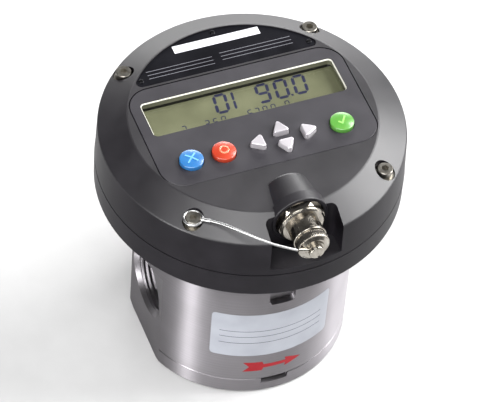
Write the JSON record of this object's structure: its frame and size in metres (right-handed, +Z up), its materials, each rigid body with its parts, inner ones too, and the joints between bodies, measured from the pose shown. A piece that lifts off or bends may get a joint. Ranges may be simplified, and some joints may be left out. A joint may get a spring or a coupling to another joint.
{
  "type": "flow meter",
  "caption": "Inline oval-rotor flow meter: aluminium body with two threaded ports under a round black electronic head with display, keys and capped connector.",
  "frame": {"origin": "centre of the flat bottom face of the meter", "axes": "+Z up through the display head, +X along the ports in the direction of flow, -Y to the front with the connector"},
  "size_m": [0.14, 0.1479, 0.1436],
  "materials": {
    "turned_aluminium": "fine turned",
    "black_glass_filled_nylon": "moulded, fine texture",
    "panel_plastic": "moulded satin",
    "name_plate_black": "gloss black",
    "clear_lens": "clear polished",
    "display_glass": "liquid crystal, grey green",
    "key_blue": "moulded gloss",
    "key_red": "moulded gloss",
    "key_green": "moulded gloss",
    "key_grey": "moulded satin",
    "bright_nickel": "bright nickel plated brass",
    "stainless_steel": "bright turned",
    "black_rubber": "moulded",
    "silicone": "moulded",
    "rotor_plastic": "carbon-filled, moulded",
    "bush_carbon": "sintered carbon",
    "magnet": "nickel plated",
    "brass": "turned",
    "board_laminate": "green solder mask",
    "insulator": "moulded",
    "cell_wrap": "plastic sleeve"
  },
  "bodies": {
    "meter": {"meter_body": "turned_aluminium", "bottom_cover": "turned_aluminium", "chamber_seal": "black_rubber", "cover_screws": "stainless_steel", "rotor_shaft_a": "stainless_steel", "rotor_shaft_b": "stainless_steel", "pickup_sensor": "insulator", "pickup_screws": "stainless_steel", "body_seal": "black_rubber", "head_base": "black_glass_filled_nylon", "base_screws": "stainless_steel", "head_inserts": "brass", "head_gasket": "black_rubber", "head_housing": "black_glass_filled_nylon", "head_screws": "stainless_steel", "head_washers": "stainless_steel", "display_panel": "panel_plastic", "display_window": "clear_lens", "display_glass": "display_glass", "contact_strips": "silicone", "key_mat": "silicone", "circuit_board": "board_laminate", "board_screws": "stainless_steel", "battery_holder": "insulator", "battery_cells": "cell_wrap", "battery_contacts": "stainless_steel", "name_plate": "name_plate_black", "name_plate_pins": "stainless_steel", "connector_shell": "bright_nickel", "connector_seal": "black_rubber", "lock_washer": "bright_nickel", "connector_nut": "bright_nickel", "connector_insert": "insulator", "connector_pins": "brass", "tether_noose": "stainless_steel", "tether_wire": "stainless_steel"},
    "rotor_a": {"rotor_a": "rotor_plastic", "rotor_bushes_a": "bush_carbon", "rotor_magnets": "magnet"},
    "rotor_b": {"rotor_b": "rotor_plastic", "rotor_bushes_b": "bush_carbon"},
    "blue_key": {"blue_key": "key_blue"},
    "red_key": {"red_key": "key_red"},
    "green_key": {"green_key": "key_green"},
    "left_key": {"left_key": "key_grey"},
    "right_key": {"right_key": "key_grey"},
    "up_key": {"up_key": "key_grey"},
    "down_key": {"down_key": "key_grey"},
    "tether_end": {"ring_terminal": "bright_nickel"},
    "dust_cap": {"dust_cap": "bright_nickel", "cap_seal": "black_rubber", "cap_screw": "bright_nickel"}
  },
  "joints": [
    {"name": "rotor_a_spin", "type": "hinge", "parent": "meter", "child": "rotor_a", "pos_m": [0, -0.01725, 0.033], "axis": [0, 0, 1], "continuous": true},
    {"name": "rotor_b_spin", "type": "hinge", "parent": "meter", "child": "rotor_b", "pos_m": [0, 0.01725, 0.033], "axis": [0, 0, 1], "continuous": true},
    {"name": "blue_key_press", "type": "slide", "parent": "meter", "child": "blue_key", "axis": [0, 0, -1], "range_m": [0, 0.0008], "stiffness_N_per_m": 1500},
    {"name": "red_key_press", "type": "slide", "parent": "meter", "child": "red_key", "axis": [0, 0, -1], "range_m": [0, 0.0008], "stiffness_N_per_m": 1500},
    {"name": "green_key_press", "type": "slide", "parent": "meter", "child": "green_key", "axis": [0, 0, -1], "range_m": [0, 0.0008], "stiffness_N_per_m": 1500},
    {"name": "left_key_press", "type": "slide", "parent": "meter", "child": "left_key", "axis": [0, 0, -1], "range_m": [0, 0.0008], "stiffness_N_per_m": 1500},
    {"name": "right_key_press", "type": "slide", "parent": "meter", "child": "right_key", "axis": [0, 0, -1], "range_m": [0, 0.0008], "stiffness_N_per_m": 1500},
    {"name": "up_key_press", "type": "slide", "parent": "meter", "child": "up_key", "axis": [0, 0, -1], "range_m": [0, 0.0008], "stiffness_N_per_m": 1500},
    {"name": "down_key_press", "type": "slide", "parent": "meter", "child": "down_key", "axis": [0, 0, -1], "range_m": [0, 0.0008], "stiffness_N_per_m": 1500},
    {"name": "cap_travel", "type": "slide", "parent": "meter", "child": "tether_end", "axis": [0, -1, 0], "range_m": [0, 0.0046]},
    {"name": "cap_turn", "type": "hinge", "parent": "tether_end", "child": "dust_cap", "pos_m": [0, -0.072, 0.1306], "axis": [0, -1, 0], "range_deg": [0, 1656]}
  ],
  "couplings": [
    {"joint": "rotor_b_spin", "follows": "rotor_a_spin", "ratio": -1},
    {"joint": "cap_turn", "follows": "cap_travel", "rad_per_m": 6283.2}
  ]
}
